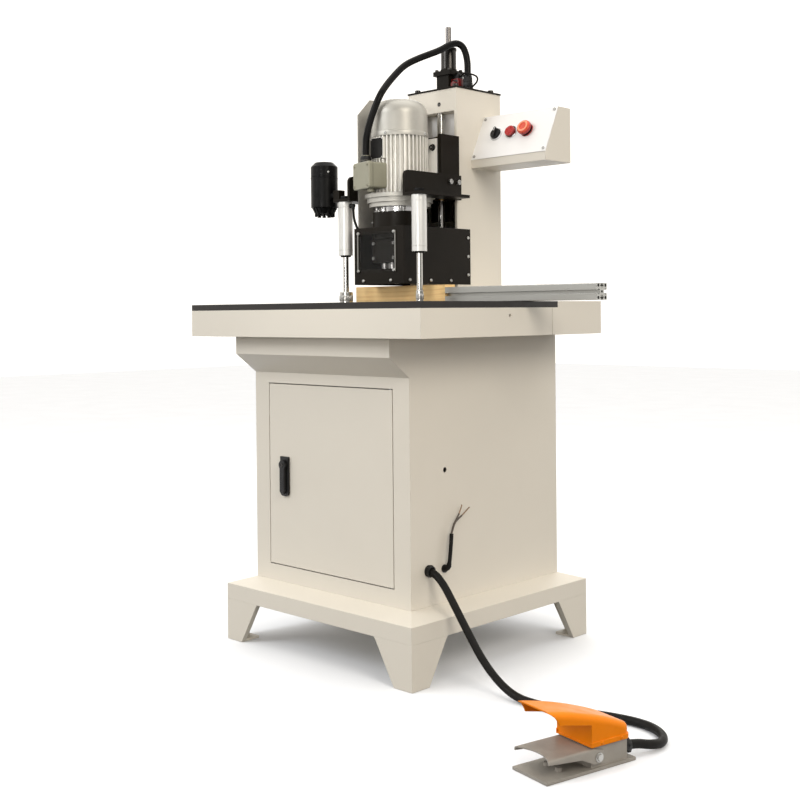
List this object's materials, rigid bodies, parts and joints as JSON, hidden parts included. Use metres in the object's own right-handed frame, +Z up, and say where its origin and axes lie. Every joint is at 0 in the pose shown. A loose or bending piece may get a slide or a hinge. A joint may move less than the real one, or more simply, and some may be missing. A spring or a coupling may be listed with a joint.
{
  "type": "hinge boring machine",
  "caption": "Floor-standing hinge boring machine: cabinet, table with slotted fence, column with a motor head that feeds down, work clamps, guard, control box and foot pedal.",
  "frame": {"origin": "on the floor, midway between the four anchor bores of the feet", "axes": "+Z up, +X to the operator's right, +Y away from the operator"},
  "size_m": [1.399, 0.9167, 1.702],
  "materials": {
    "white_paint": "satin powder coat",
    "dark_top": "matt coat",
    "black_paint": "satin coat",
    "motor_grey": "cast and painted",
    "shield_grey": "satin coat",
    "pedal_grey": "cast and painted",
    "pedal_orange": "gloss coat",
    "aluminium": "drawn and anodised",
    "chrome": "ground and plated",
    "steel": "turned",
    "bronze": "turned",
    "wood": "raw board",
    "black_plastic": "moulded",
    "red_plastic": "moulded",
    "black_rubber": "moulded",
    "window": "clear sheet",
    "lens": "clear"
  },
  "bodies": {
    "stand": {"feet": "white_paint", "base_plinth": "white_paint", "cabinet_shell": "white_paint", "table_frame": "white_paint", "table_deck": "white_paint", "column": "white_paint", "control_box": "white_paint", "control_panel": "white_paint", "table_top": "dark_top", "column_cap": "black_paint", "feed_block": "black_paint", "guard_shell": "black_paint", "clamp_brackets": "black_paint", "clamp_arm_left": "black_paint", "clamp_arm_right": "black_paint", "lamp_bracket": "black_paint", "side_shield": "shield_grey", "pedal_base": "pedal_grey", "pedal_hood": "pedal_orange", "fence_rail": "aluminium", "clamp_cylinders": "aluminium", "guide_rods": "chrome", "machine_bolts": "steel", "door_pivots": "steel", "feed_barrel": "steel", "electrics_panel": "steel", "backing_block": "wood", "switch_bodies": "black_plastic", "cable_glands": "black_plastic", "motor_conduit": "black_plastic", "feed_valve": "red_plastic", "pedal_hose": "black_rubber", "mains_lead": "black_rubber", "guard_window": "window"},
    "door": {"cabinet_door": "white_paint", "latch_plate": "black_plastic"},
    "latch": {"latch_lever": "black_plastic"},
    "head": {"carriage": "black_paint", "guide_bushes": "bronze", "motor_saddle": "aluminium", "motor_housing": "motor_grey", "motor_flange": "motor_grey", "fan_cover": "motor_grey", "terminal_box": "motor_grey", "gearbox_adapter": "black_paint", "gearbox_housing": "black_paint", "head_screws": "steel", "feed_piston": "chrome"},
    "rotor": {"motor_rotor": "steel"},
    "middle_spindle": {"centre_spindle": "steel"},
    "left_spindle": {"outer_spindle_left": "steel"},
    "right_spindle": {"outer_spindle_right": "steel"},
    "left_clamp": {"clamp_rod_left": "chrome"},
    "right_clamp": {"clamp_rod_right": "chrome"},
    "lamp": {"lamp_housing": "black_plastic", "lamp_lens": "lens"},
    "selector": {"selector_knob": "black_plastic"},
    "button": {"push_button": "red_plastic"},
    "stop": {"emergency_stop": "red_plastic"},
    "treadle": {"pedal_treadle": "pedal_grey"}
  },
  "joints": [
    {"name": "head_feed", "type": "slide", "parent": "stand", "child": "head", "axis": [0, 0, 1], "range_m": [-0.05, 0], "deforming": ["motor_conduit"]},
    {"name": "motor_spin", "type": "hinge", "parent": "head", "child": "rotor", "pos_m": [0, -0.0145, 1.2], "axis": [0, 0, 1], "continuous": true},
    {"name": "middle_spin", "type": "hinge", "parent": "head", "child": "middle_spindle", "pos_m": [0, -0.0445, 1.05], "axis": [0, 0, 1], "continuous": true},
    {"name": "left_spin", "type": "hinge", "parent": "head", "child": "left_spindle", "pos_m": [-0.024, -0.0505, 1.05], "axis": [0, 0, 1], "continuous": true},
    {"name": "right_spin", "type": "hinge", "parent": "head", "child": "right_spindle", "pos_m": [0.024, -0.0505, 1.05], "axis": [0, 0, 1], "continuous": true},
    {"name": "left_clamp_slide", "type": "slide", "parent": "stand", "child": "left_clamp", "axis": [0, 0, 1], "range_m": [0, 0.06]},
    {"name": "right_clamp_slide", "type": "slide", "parent": "stand", "child": "right_clamp", "axis": [0, 0, 1], "range_m": [0, 0.06]},
    {"name": "door_hinge", "type": "hinge", "parent": "stand", "child": "door", "pos_m": [0.2205, -0.283, 0.458], "axis": [0, 0, 1], "range_deg": [0, 110]},
    {"name": "latch_turn", "type": "hinge", "parent": "door", "child": "latch", "pos_m": [-0.168, -0.3, 0.485], "axis": [0, -1, 0], "range_deg": [0, 90]},
    {"name": "lamp_tilt", "type": "hinge", "parent": "stand", "child": "lamp", "pos_m": [-0.1775, -0.088, 1.217], "axis": [1, 0, 0], "range_deg": [-30, 30]},
    {"name": "selector_turn", "type": "hinge", "parent": "stand", "child": "selector", "pos_m": [0.158, 0.21158, 1.37992], "axis": [0, -0.9043, 0.4268], "range_deg": [-45, 45]},
    {"name": "button_push", "type": "slide", "parent": "stand", "child": "button", "axis": [0, 0.9043, -0.4268], "range_m": [0, 0.004], "stiffness_N_per_m": 600, "springref_m": -0.002},
    {"name": "stop_push", "type": "slide", "parent": "stand", "child": "stop", "axis": [0, 0.9043, -0.4268], "range_m": [0, 0.005]},
    {"name": "pedal_press", "type": "hinge", "parent": "stand", "child": "treadle", "pos_m": [0.88341, -0.42737, 0.026], "axis": [0.977, -0.213, 0], "range_deg": [0, 10], "stiffness_Nm_per_rad": 4, "springref_deg": -11.46}
  ],
  "couplings": [
    {"joint": "middle_spin", "follows": "motor_spin", "ratio": -1},
    {"joint": "left_spin", "follows": "motor_spin", "ratio": 1},
    {"joint": "right_spin", "follows": "motor_spin", "ratio": 1}
  ]
}
